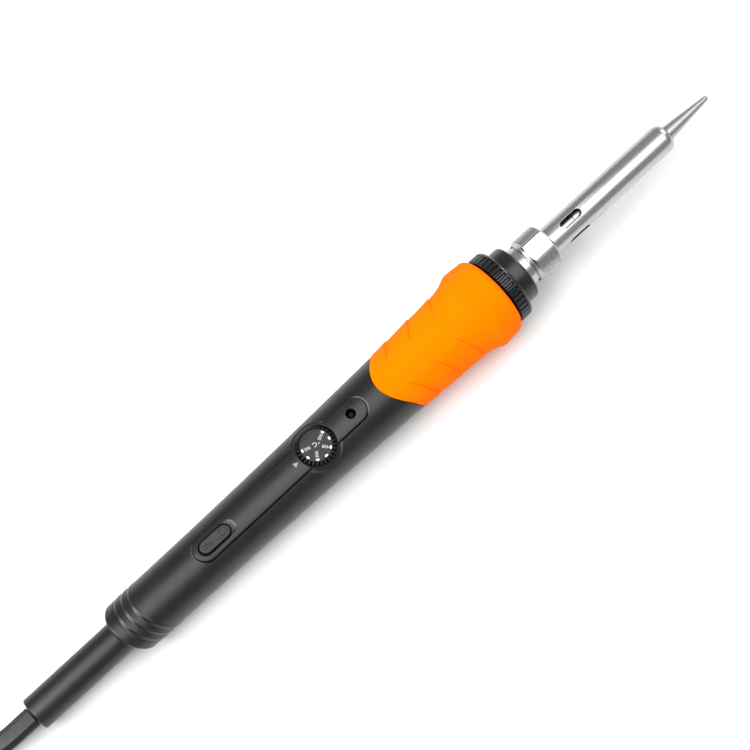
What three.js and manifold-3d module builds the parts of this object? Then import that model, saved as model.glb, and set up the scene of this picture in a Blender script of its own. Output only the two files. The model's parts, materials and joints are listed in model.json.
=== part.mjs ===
// A mains soldering iron with a temperature dial, lying on a table with its lead tied in a hank.
// Millimetres. The iron is built along its own axis: tail at low x, tip at high x, control panel
// up (+Z). It is then laid down on its grip flare and its tail, and its lead is laid beside it.

import * as THREE from 'three';
import { mergeVertices } from 'three/addons/utils/BufferGeometryUtils.js';
import Module from 'manifold-3d';

const wasm = await Module();
wasm.setup();

// Driving dimensions ---------------------------------------------------------------------------

const gap = 0.3; // between pieces that touch
const bigSides = 48; // facets round the handle, grip and rings
const smallSides = 24; // facets round slim pieces

// Heated end, as x positions and radii
const tipEndX = 140.7;
const tipRadius = 2.65;
const tipRearX = 80;
const tipBoreRadius = 2.15;
const barrelEndX = 122.2;
const barrelRadius = 4.9;
const barrelBoreRadius = 4.3;
const barrelRearX = 62.3;
const barrelFlangeRadius = 6.3;
const slotMiddleX = 78.65;
const slotLength = 8.5;
const slotWidth = 2.85;
const slotTurn = 3; // degrees from straight up
const slotCount = 4;
const nutRearX = 58.9;
const nutFrontX = 68.9;
const nutRadius = 8.0;
const nutBoreRadius = 6.95;
const nutLipX = 64.5; // the lip that traps the barrel's flange starts here
const nutLipRadius = 5.25;
const nutFlats = 4;
const nutTurn = 2; // degrees from straight up
const nippleRearX = 44;
const nippleBoreRadius = 3.6;
const neckRearX = 55.3; // the nipple's neck shows between the cap and the nut
const neckRadius = 6.9;
const threadRadius = 6.6;
const heaterRearX = 50;
const heaterFrontX = 115;
const heaterRadius = 1.9;
const holderRearX = 46;
const holderFrontX = 60;

// Front cap and locking collar
const capRadius = 9.73;
const capFrontX = 55.8;
const capBoreRadius = 6.1;
const capFlangeRearX = 48.9; // the collar's lip holds this flange
const capFlangeFrontX = 49.8;
const capFlangeRadius = 10.6;
const collarRearX = 46.15;
const collarFrontX = 50.7;
const collarRadius = 12.5;

// Grip sleeve
const coreRadius = 9.6;
const coreBoreRadius = 8.0;
const coreFrontX = 48.6;
const gripFrontX = 45.84;
const flareX = 37.35;
const flareRadius = 14.52;
const gripRearTopX = -4.1; // the sleeve's rear edge is a slanting cut
const gripRearBottomX = 11.9;
const gripRearRadius = 11.2;

// Handle
const tailTopX = -111.6; // the tail is a slanting cut too
const tailBottomX = -101.6;
const tailRadius = 9.2;
const boreRadius = 7.6;
const boreRearX = -97;
const tailHoleRadius = 5.8;
const handleOutline = [
  [-113, tailRadius],
  [-100, tailRadius],
  [-77, 9.37],
  [-54.4, 9.69],
  [-31.4, 10.18],
  [-12.8, 10.7],
  [1.25, 11.17],
  [14, 11.5],
];

// Control panel
const panelRearX = -78.6;
const panelFrontX = -9.6;
const panelHalfWidth = 4.25;
const panelThickness = 1.6;
const cutBottomZ = 4; // openings under the controls are cut between these heights
const cutTopZ = 16;
const dialX = -29.3;
const dialRadius = 6.2;
const dialWellRadius = 6.63;
const dialTopZ = 10.6;
const dialThickness = 1.9;
const dialHubRadius = 2.6;
const dialHubBottomZ = 7;
const shaftRadius = 1.5;
const shaftTopZ = 9.3;
const switchX = -70.75;
const rockerLength = 11;
const rockerWidth = 4;
const rockerTopZ = 9.75;
const rockerPivotZ = 7.2;
const rockerTilt = 3.5; // degrees, the tip side pressed down
const switchHoleLength = 12.3;
const switchHoleWidth = 5.1;
const ledX = -15;
const ledHoleRadius = 1.62;
const ledRadius = 1.3;
const ledTopZ = 9.35;

// Circuit board and what is on it
const boardRearX = -80;
const boardFrontX = -3;
const boardHalfWidth = 6.6;
const boardBottomZ = 0.6;
const boardTopZ = 1.8;

// Cord clamp, two bars and two screws across the lead just inside the tail
const clampX = -89;
const clampHalfLength = 3;
const clampHalfWidth = 5.7;
const clampScrewY = 4.55;
const clampScrewRadius = 0.8;
const clampScrewHeadRadius = 1.1;
const sheathEndX = -84.6; // the sheath stops here, and its two cores go on

// Lead
const reliefRadius = 5.48;
const reliefEndX = -145.4;
const cordWidth = 6.6;
const cordThickness = 4.3;
const foldRadius = 20; // middle of the hank's inner turns at its folds, three cord widths
const waistRadius = 29; // middle of the inner turns where the waist draws in
const foldHalfSpan = 32.1; // from the hank's middle to the middle of each fold
const turnPitch = 4.7; // from one turn to the turn beside it
const layerPitch = 6.8; // from one turn to the turn on top of it
const layers = 3;
const hankFromExit = -87.6; // the hank's middle, along x from where the lead leaves the relief
const tieWidth = 10;
const tieThickness = 0.8;
const plugOffsetY = 8; // the plug lies on the hank, over one of its two runs
const plugReliefFromHank = -8.3; // where the lead enters the plug, from the hank's middle
const plugReliefLength = 18;
const plugLength = 35;
const plugWidth = 35.3;
const plugThickness = 13.7;
const pinRadius = 2;
const pinLength = 19;
const pinSpacing = 18.6;
const sleeveLength = 10;

// The lead from the relief to the hank: x and y from the exit, and height above the table.
const leadRoute = [
  [-gap, 0, 7.5],
  [-4, 0, 7.3],
  [-8, 0, 7],
  [-12, 0.3, 6.6],
  [-16, 1.1, 6],
  [-20, 2.5, 5.3],
  [-24, 4.6, 4.7],
  [-26, 6, 4.4],
];

// The lead's last stretch, over the tie and into the plug: x from the hank's middle, y, height.
const endRoute = [
  [4.6, 8.1, 24.6],
  [1, 8, 25.4],
  [-3, 8, 26.4],
  [-8, 8, 27.2],
];

// Geometry helpers -----------------------------------------------------------------------------

const radians = THREE.MathUtils.degToRad;

// One closed body: shared vertices, no collapsed triangles, faces pointing out.
function closed(geometry) {
  geometry.deleteAttribute('normal');
  geometry.deleteAttribute('uv');
  const merged = mergeVertices(geometry, 1e-4);
  const at = merged.attributes.position;
  const old = merged.index.array;
  const kept = [];
  let volume = 0;
  const [a, b, c] = [new THREE.Vector3(), new THREE.Vector3(), new THREE.Vector3()];
  for (let i = 0; i < old.length; i += 3) {
    const [p, q, r] = [old[i], old[i + 1], old[i + 2]];
    if (p === q || q === r || r === p) continue;
    kept.push(p, q, r);
    a.fromBufferAttribute(at, p);
    b.fromBufferAttribute(at, q);
    c.fromBufferAttribute(at, r);
    volume += a.dot(b.cross(c));
  }
  merged.setIndex(volume < 0 ? kept.reverse() : kept);
  return merged;
}

function toSolid(geometry) {
  return new wasm.Manifold(
    new wasm.Mesh({
      numProp: 3,
      vertProperties: Float32Array.from(geometry.attributes.position.array),
      triVerts: Uint32Array.from(geometry.index.array),
    }),
  );
}

function toGeometry(solid) {
  const mesh = solid.getMesh();
  const geometry = new THREE.BufferGeometry();
  geometry.setAttribute('position', new THREE.BufferAttribute(mesh.vertProperties, 3));
  geometry.setIndex(Array.from(mesh.triVerts));
  return geometry;
}

function cut(geometry, ...tools) {
  const solid = tools.reduce((left, tool) => left.subtract(toSolid(tool)), toSolid(geometry));
  return toGeometry(solid);
}

function join(geometry, ...others) {
  const solid = others.reduce((sum, other) => sum.add(toSolid(other)), toSolid(geometry));
  return toGeometry(solid);
}

function common(geometry, other) {
  return toGeometry(toSolid(geometry).intersect(toSolid(other)));
}

// A solid of revolution about the x axis, from [x, radius] points that close on themselves.
function turned(profile, sides = bigSides) {
  const points = [...profile, profile[0]].map(([x, r]) => new THREE.Vector2(r, x));
  return closed(new THREE.LatheGeometry(points, sides).rotateZ(-Math.PI / 2));
}

// A tube or rod along x.
function ring(rearX, frontX, outer, inner, sides = smallSides) {
  return turned([[rearX, inner], [rearX, outer], [frontX, outer], [frontX, inner]], sides);
}

// A solid of revolution about an upright axis through (x, 0).
function upright(x, profile, sides = smallSides) {
  const points = [...profile, profile[0]].map(([z, r]) => new THREE.Vector2(r, z));
  return closed(new THREE.LatheGeometry(points, sides).rotateX(Math.PI / 2).translate(x, 0, 0));
}

function rod(x, bottomZ, topZ, radius, sides = smallSides) {
  return upright(x, [[bottomZ, 0], [bottomZ, radius], [topZ, radius], [topZ, 0]], sides);
}

function block([x0, y0, z0], [x1, y1, z1]) {
  const box = new THREE.BoxGeometry(x1 - x0, y1 - y0, z1 - z0);
  return closed(box.translate((x0 + x1) / 2, (y0 + y1) / 2, (z0 + z1) / 2));
}

function prism(shape, bottomZ, topZ, curveSegments = 8) {
  const options = { depth: topZ - bottomZ, bevelEnabled: false, curveSegments };
  return closed(new THREE.ExtrudeGeometry(shape, options).translate(0, 0, bottomZ));
}

// A slot outline with round ends, along x.
function stadium(rearX, frontX, halfWidth) {
  const shape = new THREE.Shape();
  shape.absarc(frontX - halfWidth, 0, halfWidth, -Math.PI / 2, Math.PI / 2);
  shape.absarc(rearX + halfWidth, 0, halfWidth, Math.PI / 2, 1.5 * Math.PI);
  return shape;
}

// A tube of round or polygonal section along hand-set points.
function tube(points, radius, sides, steps) {
  const shape = new THREE.Shape();
  for (let i = 0; i < sides; i++) {
    const angle = ((i + 0.5) / sides) * 2 * Math.PI;
    shape[i ? 'lineTo' : 'moveTo'](radius * Math.cos(angle), radius * Math.sin(angle));
  }
  const path = new THREE.CatmullRomCurve3(points.map((p) => new THREE.Vector3(...p)));
  return closed(new THREE.ExtrudeGeometry(shape, { steps, extrudePath: path }));
}

// Everything behind a plane that slants from (topX, +radius) down to (bottomX, -radius).
function behindSlant(topX, bottomX, radius) {
  const size = 160;
  const angle = Math.atan2(bottomX - topX, 2 * radius);
  const box = new THREE.BoxGeometry(size, size, size).translate(-size / 2, 0, 0);
  box.rotateY(-angle).translate((topX + bottomX) / 2, 0, 0);
  return closed(box);
}

function paint(color, roughness, metalness = 0) {
  return new THREE.MeshStandardMaterial({ color, roughness, metalness });
}

function piece(name, geometry, material) {
  geometry.computeVertexNormals();
  const mesh = new THREE.Mesh(geometry, material);
  mesh.name = name;
  return mesh;
}

const blackPlastic = () => paint('#2b2c2e', 0.5);
const orangeRubber = () => paint('#ff7d05', 0.55);
const brightSteel = () => paint('#c9c8c4', 0.3, 1);
const brass = () => paint('#b99a5b', 0.35, 1);
const ceramic = () => paint('#e8e4da', 0.6);
const pvc = () => paint('#242424', 0.55);

// Heated end -----------------------------------------------------------------------------------

function tip() {
  const shoulderX = 116.2;
  return turned(
    [
      [117, 0],
      [117, tipBoreRadius],
      [tipRearX, tipBoreRadius],
      [tipRearX, 3.1],
      [shoulderX, 3.1],
      [shoulderX, 3.9],
      [119.3, 3.9],
      [119.3, tipRadius],
      [barrelEndX, tipRadius],
      [140.1, 0.9],
      [tipEndX - 0.15, 0.55],
      [tipEndX, 0],
    ],
    smallSides,
  );
}

function barrel() {
  const pipe = turned(
    [
      [barrelRearX, barrelBoreRadius],
      [barrelRearX, barrelFlangeRadius],
      [nutLipX - gap, barrelFlangeRadius],
      [nutLipX - gap, barrelRadius],
      [120, barrelRadius],
      [121.2, 4.65],
      [121.9, 4.15],
      [barrelEndX, 3.5],
      [barrelEndX, tipRadius + gap],
      [119.7, tipRadius + gap],
      [119.7, barrelBoreRadius],
    ],
    32,
  );
  const outline = stadium(slotMiddleX - slotLength / 2, slotMiddleX + slotLength / 2, slotWidth / 2);
  const slots = [];
  for (let i = 0; i < slotCount; i++) {
    const turn = radians(slotTurn + (360 * i) / slotCount);
    slots.push(prism(outline, 2.5, 6, 5).rotateX(turn));
  }
  return cut(pipe, ...slots);
}

function barrelNut() {
  const blank = turned([
    [nutRearX, nutBoreRadius],
    [nutRearX, 7.35],
    [nutRearX + 0.8, nutRadius],
    [nutFrontX - 1.1, nutRadius],
    [nutFrontX, 7.1],
    [nutFrontX, nutLipRadius],
    [nutLipX, nutLipRadius],
    [nutLipX, nutBoreRadius],
  ]);
  const flatHeight = nutRadius * Math.cos(Math.PI / (2 * nutFlats));
  const flats = [];
  for (let i = 0; i < nutFlats; i++) {
    const turn = radians(nutTurn + (360 * i) / nutFlats);
    flats.push(block([nutRearX - 1, -9, flatHeight], [nutFrontX + 1, 9, 12]).rotateX(turn));
  }
  return cut(blank, ...flats);
}

function nipple() {
  return turned(
    [
      [nippleRearX, nippleBoreRadius],
      [nippleRearX, capBoreRadius - gap],
      [neckRearX, capBoreRadius - gap],
      [neckRearX, neckRadius],
      [nutRearX - 0.4, neckRadius],
      [nutRearX - 0.4, threadRadius],
      [barrelRearX - gap, threadRadius],
      [barrelRearX - gap, nippleBoreRadius],
    ],
    32,
  );
}

function heatedEnd() {
  const group = new THREE.Group();
  group.add(
    piece('soldering_tip', tip(), paint('#b9b7b2', 0.38, 1)),
    piece('barrel_tube', barrel(), brightSteel()),
    piece('barrel_nut', barrelNut(), brightSteel()),
    piece('threaded_nipple', nipple(), brightSteel()),
    piece('heater_rod', ring(heaterRearX, heaterFrontX, heaterRadius, 0, 16), ceramic()),
    piece(
      'heater_holder',
      ring(holderRearX, holderFrontX, nippleBoreRadius - gap, heaterRadius + gap),
      ceramic(),
    ),
  );
  return group;
}

// Front cap, locking collar and grip -----------------------------------------------------------

function frontCap() {
  return turned([
    [nippleRearX, capBoreRadius],
    [nippleRearX, coreBoreRadius - gap],
    [capFlangeRearX, coreBoreRadius - gap],
    [capFlangeRearX, capFlangeRadius],
    [capFlangeFrontX, capFlangeRadius],
    [capFlangeFrontX, capRadius],
    [capFrontX - 0.8, capRadius],
    [capFrontX - 0.25, capRadius - 0.25],
    [capFrontX, capRadius - 0.8],
    [capFrontX, neckRadius + gap],
    [neckRearX - gap, neckRadius + gap],
    [neckRearX - gap, capBoreRadius],
  ]);
}

function lockingCollar() {
  const lipRearX = capFlangeFrontX + gap;
  const lipBoreRadius = capFlangeRadius + gap;
  return turned([
    [collarRearX, coreRadius + gap],
    [collarRearX, collarRadius],
    [collarFrontX - 1.3, collarRadius],
    [collarFrontX - 0.5, collarRadius - 0.4],
    [collarFrontX, collarRadius - 1.2],
    [collarFrontX, capRadius + gap],
    [lipRearX, capRadius + gap],
    [lipRearX, lipBoreRadius],
    [coreFrontX, lipBoreRadius],
    [coreFrontX, coreRadius + gap],
  ]);
}

function grip() {
  const blankRearX = gripRearTopX - 2;
  const sleeve = turned([
    [blankRearX, coreRadius + gap],
    [blankRearX, gripRearRadius],
    [8, 11.42],
    [17, 11.8],
    [26, 12.15],
    [31.6, 12.62],
    [34.5, 13.43],
    [36.4, 14.29],
    [flareX, flareRadius],
    [44.5, 13.97],
    [gripFrontX, 12.6],
    [gripFrontX, coreRadius + gap],
  ]);
  return cut(sleeve, behindSlant(gripRearTopX, gripRearBottomX, gripRearRadius));
}

// Handle ---------------------------------------------------------------------------------------

function handleShell() {
  const outlineRearX = handleOutline[0][0];
  const outlineFrontX = handleOutline.at(-1)[0];
  const blank = turned([[outlineRearX, 0], ...handleOutline, [outlineFrontX, 0]]);
  const underGrip = behindSlant(gripRearTopX - gap, gripRearBottomX - gap, gripRearRadius);
  const body = cut(common(blank, underGrip), behindSlant(tailTopX, tailBottomX, tailRadius));
  const whole = join(body, ring(dialX + 8, coreFrontX, coreRadius, 0, bigSides));
  const recess = stadium(panelRearX - gap, panelFrontX + gap, panelHalfWidth + gap);
  return cut(
    whole,
    ring(boreRearX, 0, boreRadius, 0, bigSides),
    ring(-1, coreFrontX + 1, coreBoreRadius, 0, bigSides),
    ring(outlineRearX, boreRearX + 1, tailHoleRadius, 0),
    prism(recess, cutBottomZ, cutTopZ),
    dialWell(),
  );
}

function dialWell() {
  return rod(dialX, cutBottomZ, cutTopZ, dialWellRadius, bigSides);
}

// The panel is a curved strip, flush with the handle, with openings for its controls.
function controlPanel() {
  const inner = handleOutline.map(([x, r]) => [x, r - panelThickness]).reverse();
  const skin = turned([...handleOutline, ...inner]);
  const outline = stadium(panelRearX, panelFrontX, panelHalfWidth);
  const strip = common(skin, prism(outline, cutBottomZ, cutTopZ));
  const half = switchHoleLength / 2;
  const switchHole = stadium(switchX - half, switchX + half, switchHoleWidth / 2);
  return cut(
    strip,
    rod(ledX, cutBottomZ, cutTopZ, ledHoleRadius),
    prism(switchHole, cutBottomZ, cutTopZ),
  );
}

// Where the dial's well cuts the panel in two, each half is a piece of its own.
function panelHalves() {
  const whole = cut(controlPanel(), dialWell());
  const rearHalf = block([panelRearX - 1, -8, 0], [dialX, 8, cutTopZ]);
  return [common(whole, rearHalf), cut(whole, rearHalf)];
}

function dial() {
  const bottomZ = dialTopZ - dialThickness;
  return upright(
    dialX,
    [
      [shaftTopZ + gap, 0],
      [shaftTopZ + gap, shaftRadius + gap],
      [dialHubBottomZ, shaftRadius + gap],
      [dialHubBottomZ, dialHubRadius],
      [bottomZ, dialHubRadius],
      [bottomZ, dialRadius],
      [dialTopZ, dialRadius],
      [dialTopZ, 0],
    ],
    40,
  );
}

function rocker() {
  const half = rockerLength / 2;
  const cap = prism(stadium(-half, half, rockerWidth / 2), 8, rockerTopZ);
  const stem = block([-2.5, -1.3, 6], [2.5, 1.3, 8.5]);
  const whole = join(cap, stem).translate(0, 0, -rockerPivotZ);
  return whole.rotateY(radians(rockerTilt)).translate(switchX, 0, rockerPivotZ);
}

function led() {
  const profile = [
    [3, 0],
    [3, ledRadius],
    [ledTopZ - 1.15, ledRadius],
    [ledTopZ - 0.35, 0.7 * ledRadius],
    [ledTopZ, 0],
  ];
  return upright(ledX, profile, 16);
}

function handle() {
  const group = new THREE.Group();
  const [rearPanel, frontPanel] = panelHalves();
  group.add(
    piece('front_cap', frontCap(), blackPlastic()),
    piece('locking_collar', lockingCollar(), blackPlastic()),
    piece('grip_sleeve', grip(), orangeRubber()),
    piece('handle_shell', handleShell(), blackPlastic()),
    piece('switch_panel', rearPanel, blackPlastic()),
    piece('lamp_panel', frontPanel, blackPlastic()),
    piece('temperature_dial', dial(), blackPlastic()),
    piece('potentiometer_shaft', rod(dialX, 5.3, shaftTopZ, shaftRadius, 12), brass()),
    piece('switch_rocker', rocker(), blackPlastic()),
    piece('indicator_lamp', led(), paint('#3a1010', 0.2)),
  );
  return group;
}

// Inside the handle ----------------------------------------------------------------------------

function clampHalf(bottomZ, topZ) {
  const hole = () => rod(clampX, -8, 8, clampScrewRadius + gap, 12);
  const holes = [-1, 1].map((side) => hole().translate(0, clampScrewY * side, 0));
  const bar = block(
    [clampX - clampHalfLength, -clampHalfWidth, bottomZ],
    [clampX + clampHalfLength, clampHalfWidth, topZ],
  );
  return cut(bar, ...holes);
}

function clampScrew(side) {
  const profile = [
    [-3.8, 0],
    [-3.8, clampScrewRadius],
    [4.3, clampScrewRadius],
    [4.3, clampScrewHeadRadius],
    [4.9, clampScrewHeadRadius],
    [4.9, 0],
  ];
  return upright(clampX, profile, 12).translate(0, clampScrewY * side, 0);
}

function electronics() {
  const group = new THREE.Group();
  const topZ = boardTopZ + gap;
  const bottomZ = boardBottomZ - gap;
  const chipBlack = () => paint('#1c1c1e', 0.45);
  group.add(
    piece(
      'circuit_board',
      block([boardRearX, -boardHalfWidth, boardBottomZ], [boardFrontX, boardHalfWidth, boardTopZ]),
      paint('#1f6b3a', 0.5),
    ),
    piece('switch_body', block([-76, -3, topZ], [-65.5, 3, 5.4]), chipBlack()),
    piece('film_capacitor', block([-57, -3, topZ], [-46, 3, 6.3]), paint('#c8a23a', 0.5)),
    piece('control_chip', block([-43.5, -2.5, topZ], [-36.5, 2.5, 3.7]), chipBlack()),
    piece(
      'potentiometer_body',
      block([dialX - 4.6, -4.6, topZ], [dialX + 4.6, 4.6, 5]),
      paint('#31508c', 0.5),
    ),
    piece('triac', block([-20, -4.5, bottomZ - 3], [-11, 4.5, bottomZ]), chipBlack()),
    piece(
      'smoothing_capacitor',
      ring(-46, -35, 2.5, 0, 16).translate(0, 0, bottomZ - 2.5),
      paint('#2a2f55', 0.4),
    ),
    piece(
      'dropper_resistor',
      ring(-65, -54, 1.6, 0, 12).translate(0, 0, bottomZ - 1.6),
      paint('#a9967a', 0.6),
    ),
    piece('clamp_base', clampHalf(-4, -2.4), blackPlastic()),
    piece('clamp_bar', clampHalf(2.4, 4), blackPlastic()),
    piece('cord_inner_end', block([-94, -3.3, -2.1], [sheathEndX, 3.3, 2.1]), pvc()),
  );
  for (const [i, side] of [-1, 1].entries()) {
    group.add(piece(`clamp_screw_${i + 1}`, clampScrew(side), brightSteel()));
    const core = [
      [sheathEndX + gap, 1.5 * side, 0],
      [-82.4, 1.7 * side, 0.9],
      [-80.6, 2 * side, 2.6],
      [-78.6, 2.1 * side, 3.3],
      [-76.4, 2.1 * side, 3.4],
    ];
    const colour = side > 0 ? '#2456a8' : '#6b4326';
    group.add(piece(`mains_core_${i + 1}`, tube(core, 0.8, 8, 8), paint(colour, 0.5)));
  }
  const heaterLeadColours = ['#c0392b', '#c0392b', '#e6e2d8', '#3b6fb6'];
  for (const [i, colour] of heaterLeadColours.entries()) {
    const angle = radians(135 + 90 * i);
    const y = 2.4 * (i - 1.5);
    const lead = [
      [45.6, 1.4 * Math.cos(angle), 1.4 * Math.sin(angle)],
      [38, 1.4 * Math.cos(angle), 1.4 * Math.sin(angle)],
      [22, y * 0.7, 0.8],
      [6, y, 1.2],
      [boardFrontX + gap, y, 1.2],
    ];
    group.add(piece(`heater_lead_${i + 1}`, tube(lead, 0.5, 8, 12), paint(colour, 0.6)));
  }
  return group;
}

function strainRelief() {
  return turned(
    [
      [reliefEndX, 0],
      [reliefEndX, reliefRadius - 0.5],
      [reliefEndX + 0.5, reliefRadius],
      [boreRearX + gap, reliefRadius],
      [boreRearX + gap, 6.9],
      [-94.4, 6.9],
      [-94.4, 0],
    ],
    32,
  );
}

// The lead, in the table's frame ---------------------------------------------------------------

// The hank's outline: two round folds drawn in to a waist, this far out from the inner turns.
function hankOutline(path, offset) {
  const reach = foldRadius + waistRadius;
  const waistY = Math.sqrt(reach ** 2 - foldHalfSpan ** 2);
  const lean = Math.asin(foldHalfSpan / reach);
  const [fold, waist] = [foldRadius + offset, waistRadius - offset];
  const right = Math.PI / 2;
  path.absarc(foldHalfSpan, 0, fold, -right - lean, right + lean);
  path.absarc(0, waistY, waist, lean - right, -right - lean, true);
  path.absarc(-foldHalfSpan, 0, fold, right - lean, 3 * right + lean);
  path.absarc(0, -waistY, waist, right + lean, right - lean, true);
  return path;
}

const hankHeight = (layers - 1) * layerPitch + cordWidth;
const hankHalfWaist =
  Math.sqrt((foldRadius + waistRadius) ** 2 - foldHalfSpan ** 2) -
  (waistRadius - turnPitch - cordThickness / 2);

function hank() {
  const outline = hankOutline(new THREE.Shape(), turnPitch + cordThickness / 2);
  outline.holes.push(hankOutline(new THREE.Path(), -cordThickness / 2));
  const half = tieWidth / 2 + gap;
  const groove = block([-half, -40, -1], [half, 40, tieThickness + gap]);
  return cut(prism(outline, 0, hankHeight, 9), groove);
}

function tie() {
  const inner = hankHalfWaist + 1;
  const topZ = hankHeight + gap;
  const outside = block(
    [-tieWidth / 2, -inner - tieThickness, 0],
    [tieWidth / 2, inner + tieThickness, topZ + tieThickness],
  );
  return cut(outside, block([-tieWidth, -inner, tieThickness], [tieWidth, inner, topZ]));
}

// The plug's own frame: pins towards -x, the lead entering at x = 0.
function plugBody() {
  const faceX = -plugReliefLength - plugLength;
  const half = plugWidth / 2;
  const outline = new THREE.Shape();
  outline.moveTo(faceX, -half + 3);
  outline.lineTo(faceX + 3, -half);
  outline.lineTo(faceX + 12, -half);
  outline.lineTo(-plugReliefLength, -7);
  outline.lineTo(-plugReliefLength, 7);
  outline.lineTo(faceX + 12, half);
  outline.lineTo(faceX + 3, half);
  outline.lineTo(faceX, half - 3);
  const body = prism(outline, -plugThickness / 2, plugThickness / 2);
  const relief = ring(-plugReliefLength - 2, 0, 4.6, 0, 16);
  const bores = [-1, 1].map((side) =>
    ring(faceX - 1, faceX + 8 + gap, pinRadius + gap, 0, 16).translate(0, (side * pinSpacing) / 2, 0),
  );
  return cut(join(body, relief), ...bores);
}

function plugPin(side) {
  const faceX = -plugReliefLength - plugLength;
  const endX = faceX - pinLength;
  const bareX = faceX - sleeveLength - gap;
  const neck = pinRadius - 0.7;
  const profile = [
    [endX, 0],
    [endX, pinRadius - 0.8],
    [endX + 0.8, pinRadius],
    [bareX, pinRadius],
    [bareX, neck],
    [faceX + 8, neck],
    [faceX + 8, 0],
  ];
  return turned(profile, 16).translate(0, (side * pinSpacing) / 2, 0);
}

function pinSleeve(side) {
  const faceX = -plugReliefLength - plugLength;
  const tubeBore = pinRadius - 0.4;
  const sleeve = ring(faceX - sleeveLength, faceX + 6, pinRadius - 0.05, tubeBore, 16);
  return sleeve.translate(0, (side * pinSpacing) / 2, 0);
}

function lead(exit) {
  const group = new THREE.Group();
  const hankX = exit.x + hankFromExit;
  const fromExit = leadRoute.map(([x, y, z]) => [exit.x + x, exit.y + y, z]);
  const overTie = endRoute.map(([x, y, z]) => [hankX + x, y, z]);
  const plugZ = hankHeight + gap + plugThickness / 2;
  const plug = new THREE.Group();
  plug.position.set(hankX + plugReliefFromHank - gap, plugOffsetY, plugZ);
  plug.add(piece('plug_body', plugBody(), pvc()));
  for (const [i, side] of [-1, 1].entries()) {
    plug.add(piece(`plug_pin_${i + 1}`, plugPin(side), paint('#d9d5c8', 0.25, 1)));
    plug.add(piece(`pin_sleeve_${i + 1}`, pinSleeve(side), pvc()));
  }
  const hankMesh = piece('cord_hank', hank(), pvc());
  const tieMesh = piece('hank_tie', tie(), paint('#1b1b1b', 0.7));
  hankMesh.position.x = hankX;
  tieMesh.position.x = hankX;
  group.add(
    piece('cord_lead', tube(fromExit, cordWidth / 2, 8, 10), pvc()),
    hankMesh,
    tieMesh,
    piece('cord_end', tube(overTie, cordWidth / 2, 8, 5), pvc()),
    plug,
  );
  return group;
}

// The whole object -----------------------------------------------------------------------------

const iron = new THREE.Group();
iron.add(
  heatedEnd(),
  handle(),
  electronics(),
  piece('strain_relief', strainRelief(), pvc()),
);

// The iron rests on its flare and on the underside of its tail, so its axis rises to the tip.
const restTilt = Math.atan2(flareRadius - tailRadius, flareX - tailBottomX);
iron.rotation.y = -restTilt;
const box = new THREE.Box3().setFromObject(iron, true);
iron.position.set(-(box.min.x + box.max.x) / 2, -(box.min.y + box.max.y) / 2, -box.min.z);
iron.updateMatrixWorld(true);

const exit = iron.localToWorld(new THREE.Vector3(reliefEndX, 0, 0));
const object = new THREE.Group();
object.add(iron, lead(exit));

export default object;
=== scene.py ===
"""A mains soldering iron with a temperature dial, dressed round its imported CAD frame.

Lengths are millimetres along the iron's own axes (x from tail to tip, z up through the control
strip) or, for the lead, millimetres in the row frame. They become metres as each mesh is made.
The studio is laid out in metres.
"""

import json
import math

import bmesh
import bpy
import numpy as np
from mathutils import Euler, Matrix, Vector


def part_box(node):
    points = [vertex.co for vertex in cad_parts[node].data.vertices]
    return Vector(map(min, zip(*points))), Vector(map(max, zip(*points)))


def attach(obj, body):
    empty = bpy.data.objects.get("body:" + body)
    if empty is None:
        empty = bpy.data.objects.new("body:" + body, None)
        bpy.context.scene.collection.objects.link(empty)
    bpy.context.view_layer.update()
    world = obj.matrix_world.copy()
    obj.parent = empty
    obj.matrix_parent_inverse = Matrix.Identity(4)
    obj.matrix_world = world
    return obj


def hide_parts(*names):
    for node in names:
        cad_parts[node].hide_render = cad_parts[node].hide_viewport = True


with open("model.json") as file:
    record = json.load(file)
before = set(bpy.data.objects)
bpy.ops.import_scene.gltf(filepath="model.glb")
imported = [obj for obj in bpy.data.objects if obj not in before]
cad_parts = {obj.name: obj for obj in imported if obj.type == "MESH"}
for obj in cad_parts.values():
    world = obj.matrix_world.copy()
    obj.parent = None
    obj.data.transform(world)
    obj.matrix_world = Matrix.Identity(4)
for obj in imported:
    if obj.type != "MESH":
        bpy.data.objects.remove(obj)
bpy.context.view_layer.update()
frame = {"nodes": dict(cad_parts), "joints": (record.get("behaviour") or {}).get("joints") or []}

MM = 0.001
TURN = 2 * math.pi
RIGHT = math.pi / 2

# Where the iron lies in the row frame: its axes come from the joints, its origin from the dial.
DIAL_X = -29.3
DIAL_PIVOT_Z = 9.5
JOINTS = {joint["name"]: joint for joint in frame["joints"]}
AHEAD = np.array(JOINTS["barrel_draw"]["axis"], float)
UP = np.array(JOINTS["dial_turn"]["axis"], float)
AHEAD /= np.linalg.norm(AHEAD)
UP /= np.linalg.norm(UP)
AXES = np.array([AHEAD, np.cross(UP, AHEAD), UP])
ORIGIN = np.array(JOINTS["dial_turn"]["pos_m"]) - np.array([DIAL_X, 0, DIAL_PIVOT_Z]) * MM @ AXES


def to_row(points):
    """Points on the iron, in millimetres along its own axes, as metres in the row frame."""
    return np.asarray(points, float) * MM @ AXES + ORIGIN


def on_iron(place):
    """A place in the row frame, in metres, as millimetres along the iron's own axes."""
    return (np.array(place) - ORIGIN) @ AXES.T / MM


def on_table(points):
    """Millimetres in the row frame as metres."""
    return np.asarray(points, float) * MM


def span(node):
    """Rear x, front x and outer radius of a CAD node, about the iron's axis."""
    at = on_iron([v.co for v in frame["nodes"][node].data.vertices])
    return at[:, 0].min(), at[:, 0].max(), np.hypot(at[:, 1], at[:, 2]).max()


def box_mm(node):
    """Lowest and highest corner of a CAD node, in millimetres in the row frame."""
    low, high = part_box(node)
    return np.array(low) / MM, np.array(high) / MM


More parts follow.
